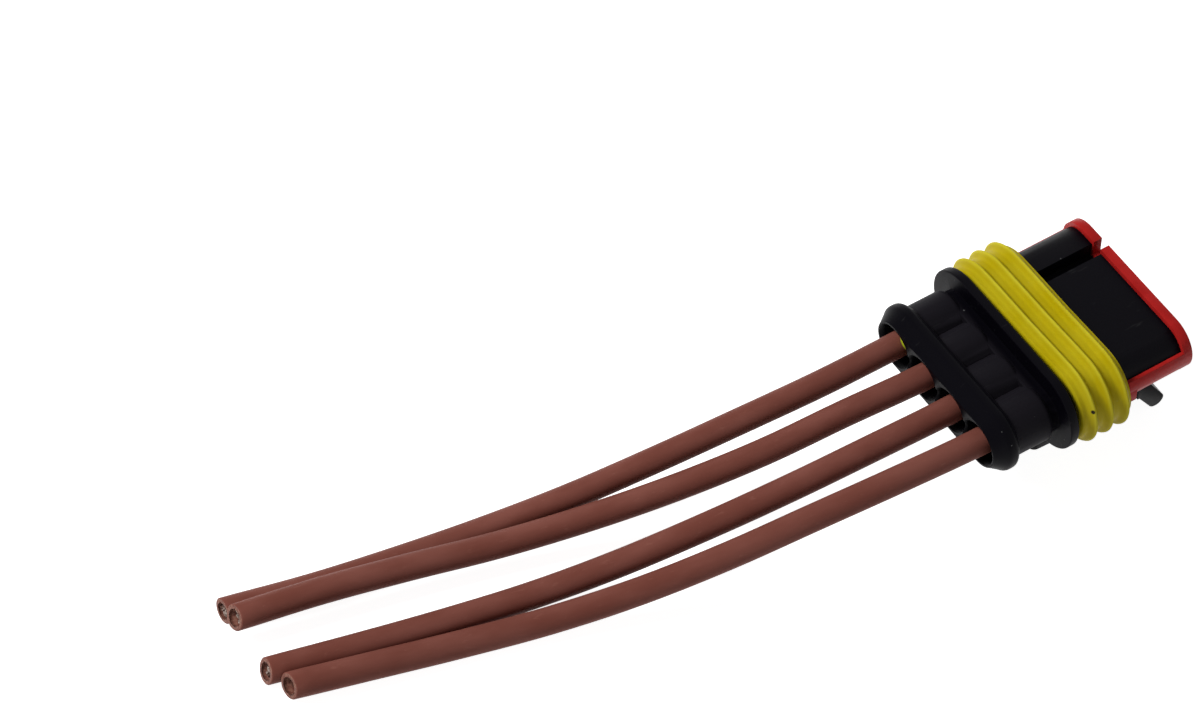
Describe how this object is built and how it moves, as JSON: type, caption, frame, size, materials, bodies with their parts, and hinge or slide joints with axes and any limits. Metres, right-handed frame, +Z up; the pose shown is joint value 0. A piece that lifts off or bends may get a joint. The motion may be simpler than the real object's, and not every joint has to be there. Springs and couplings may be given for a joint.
{
  "type": "sealed automotive connector plug with leads",
  "caption": "Sealed plug-half connector: fused wire barrels, ribbed interface seal, red secondary lock, latch lever underneath and loose wire leads with bare cut ends.",
  "frame": {"origin": "on the surface the plug stands on, under the centre of the plug's own box without its leads", "axes": "+X is the mating direction, from the wire mouths to the lock plate; the ways lie side by side along Y; +Z is up, with the latch lever underneath"},
  "size_m": [0.1191, 0.0434, 0.0191],
  "materials": {
    "housing": "black moulded polyamide, satin",
    "latch": "black moulded polyamide, satin",
    "interface_seal": "yellow silicone rubber, soft sheen",
    "secondary_lock": "red moulded polyester, satin",
    "contact": "tin-plated copper alloy strip, dull bright",
    "wire_seal": "yellow-green silicone rubber, soft sheen",
    "lead_jacket": "brown extruded PVC, satin",
    "conductor": "tinned copper strands, pinkish silver"
  },
  "bodies": {
    "plug": {"plug_housing": "housing", "interface_seal": "interface_seal", "contact_1": "contact", "contact_2": "contact", "contact_3": "contact", "contact_4": "contact", "wire_seal_1": "wire_seal", "wire_seal_2": "wire_seal", "wire_seal_3": "wire_seal", "wire_seal_4": "wire_seal", "lead_1": "lead_jacket", "lead_2": "lead_jacket", "lead_3": "lead_jacket", "lead_4": "lead_jacket", "conductor_1": "conductor", "conductor_2": "conductor", "conductor_3": "conductor", "conductor_4": "conductor"},
    "latch": {"latch_lever": "latch"},
    "lock": {"secondary_lock": "secondary_lock"}
  },
  "joints": [
    {"name": "latch_release", "type": "hinge", "parent": "plug", "child": "latch", "pos_m": [-0.0044, 0, 0.00515], "axis": [0, 1, 0], "range_deg": [0, 7], "stiffness_Nm_per_rad": 0.2},
    {"name": "lock_release", "type": "slide", "parent": "plug", "child": "lock", "axis": [1, 0, 0], "range_m": [0, 0.0018]}
  ]
}
